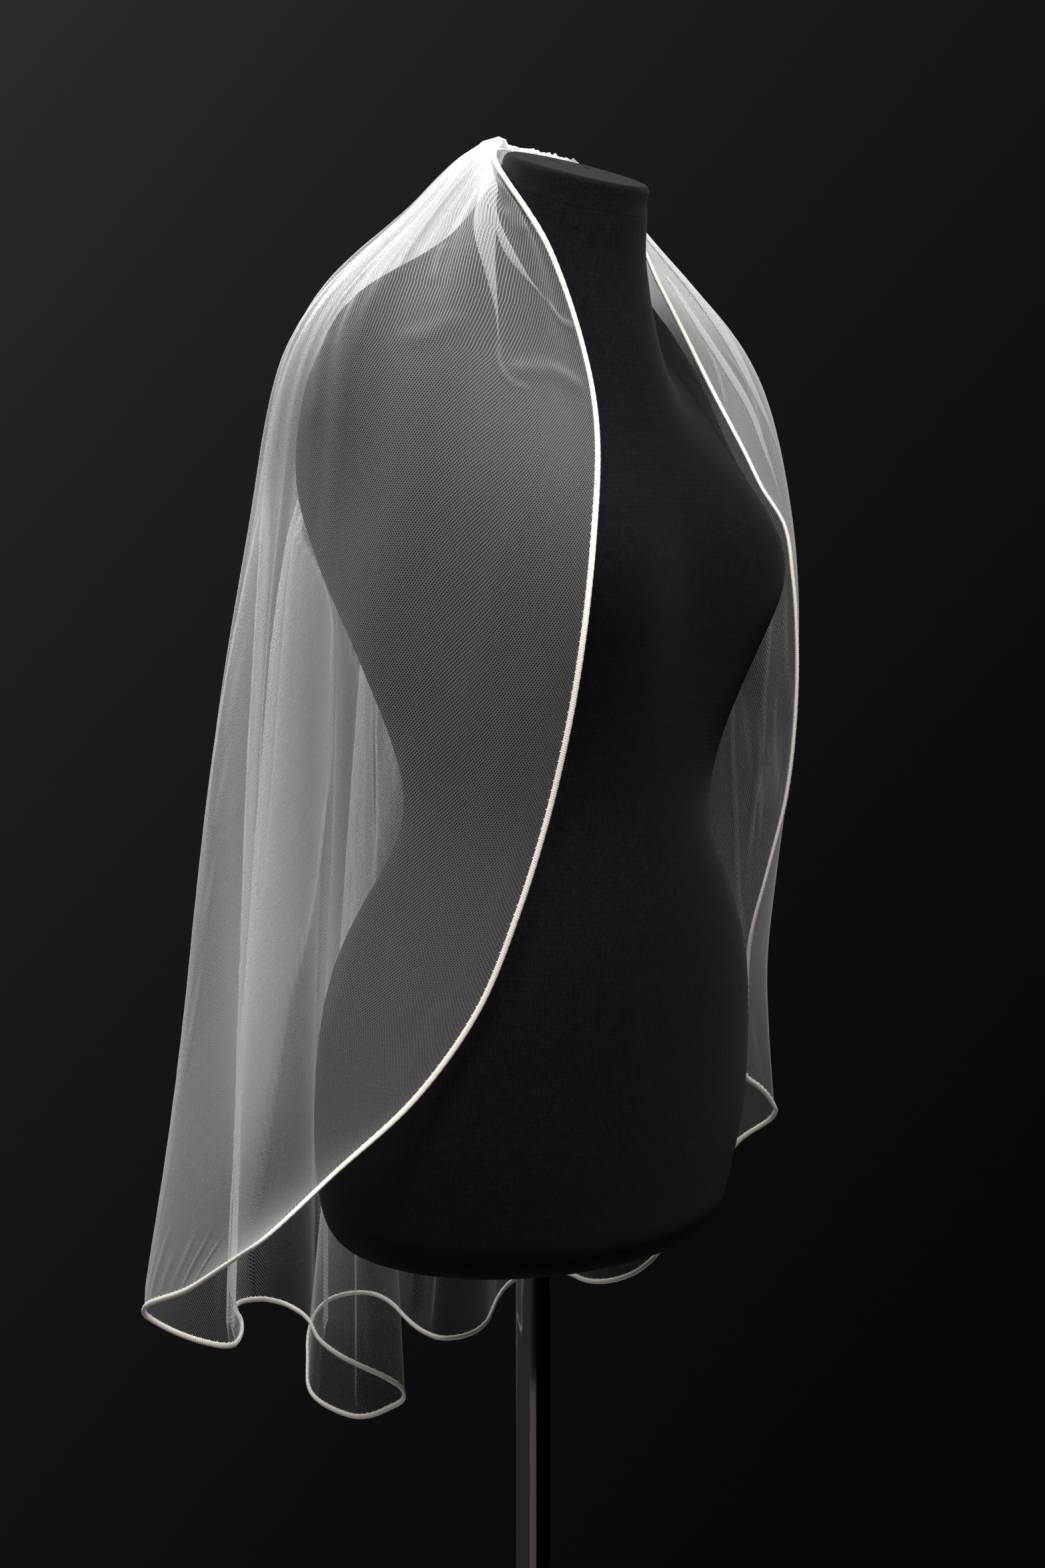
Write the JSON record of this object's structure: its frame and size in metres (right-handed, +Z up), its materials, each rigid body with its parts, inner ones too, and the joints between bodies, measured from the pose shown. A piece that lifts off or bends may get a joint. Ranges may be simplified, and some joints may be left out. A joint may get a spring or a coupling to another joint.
{
  "type": "fingertip bridal veil on a limbless dress form",
  "caption": "White net veil of fingertip length, gathered on a comb and edged with satin cord, worn over a black limbless dress form on a chrome pole and round base.",
  "frame": {"origin": "centre of the base disc's underside, on the pole's axis at floor height", "axes": "+Z up along the pole, -Y towards the form's front, +X towards the form's left side"},
  "size_m": [0.5368, 0.5151, 1.4801],
  "materials": {
    "white_net": "fine hexagonal bridal net, see-through",
    "white_satin": "narrow twisted satin cord with a soft sheen",
    "clear_plastic": "smooth clear plastic",
    "black_jersey": "matte fine-knit jersey",
    "chrome_steel": "polished chrome plating"
  },
  "bodies": {
    "root": {"veil_tulle": "white_net", "edge_cord": "white_satin", "comb": "clear_plastic", "form_torso": "black_jersey", "neck_cap": "black_jersey", "pole": "chrome_steel", "base_disc": "chrome_steel"}
  },
  "joints": []
}
